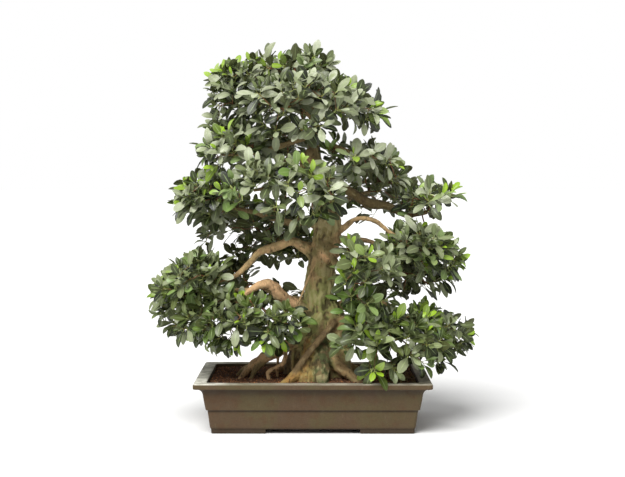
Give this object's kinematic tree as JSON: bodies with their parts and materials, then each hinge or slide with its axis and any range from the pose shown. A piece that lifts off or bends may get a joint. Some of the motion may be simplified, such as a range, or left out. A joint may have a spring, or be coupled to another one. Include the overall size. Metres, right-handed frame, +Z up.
{
  "type": "ficus bonsai in a rectangular pot",
  "caption": "Fig tree trained as a bonsai, with a stout trunk, spread roots and pads of leathery leaves, in a shallow rectangular clay pot.",
  "frame": {"origin": "on the ground under the middle of the whole tree's and pot's bounding box", "axes": "+Z up along the tree's height, +X to the viewer's right along the pot's length, +Y away from the viewer, towards the tree's back"},
  "size_m": [0.9354, 0.6634, 1.0843],
  "materials": {
    "clay": "matte",
    "earth": "matte",
    "net": "matte",
    "bark": "matte",
    "leaf": "satin"
  },
  "bodies": {
    "root": {"pot": "clay", "soil": "earth", "drain_net_1": "net", "drain_net_2": "net", "tree_wood": "bark", "spray_crown_top_1": "leaf", "spray_crown_top_2": "leaf", "spray_crown_top_3": "leaf", "spray_crown_left_1": "leaf", "spray_crown_left_2": "leaf", "spray_crown_left_3": "leaf", "spray_crown_right_1": "leaf", "spray_crown_right_2": "leaf", "spray_crown_right_3": "leaf", "spray_crown_front_1": "leaf", "spray_crown_front_2": "leaf", "spray_crown_back_1": "leaf", "spray_crown_back_2": "leaf", "spray_crown_back_3": "leaf", "spray_upper_left_1": "leaf", "spray_upper_left_2": "leaf", "spray_upper_right_1": "leaf", "spray_upper_right_2": "leaf", "spray_front_1": "leaf", "spray_front_2": "leaf", "spray_front_3": "leaf", "spray_left_1": "leaf", "spray_left_2": "leaf", "spray_left_3": "leaf", "spray_right_1": "leaf", "spray_right_2": "leaf", "spray_right_arch_1": "leaf", "spray_right_arch_2": "leaf", "spray_right_mid_1": "leaf", "spray_front_right_1": "leaf", "spray_front_right_2": "leaf", "spray_left_mid_1": "leaf", "spray_left_mid_2": "leaf", "spray_left_low_1": "leaf", "spray_left_bottom_1": "leaf", "spray_left_bottom_2": "leaf", "spray_right_low_1": "leaf", "spray_right_low_2": "leaf", "spray_front_low_1": "leaf", "spray_front_low_2": "leaf", "spray_back_high_1": "leaf", "spray_back_high_2": "leaf", "spray_back_right_1": "leaf", "spray_back_right_2": "leaf", "spray_back_left_1": "leaf", "spray_back_left_2": "leaf", "spray_back_low_1": "leaf", "spray_back_bottom_1": "leaf"}
  },
  "joints": []
}
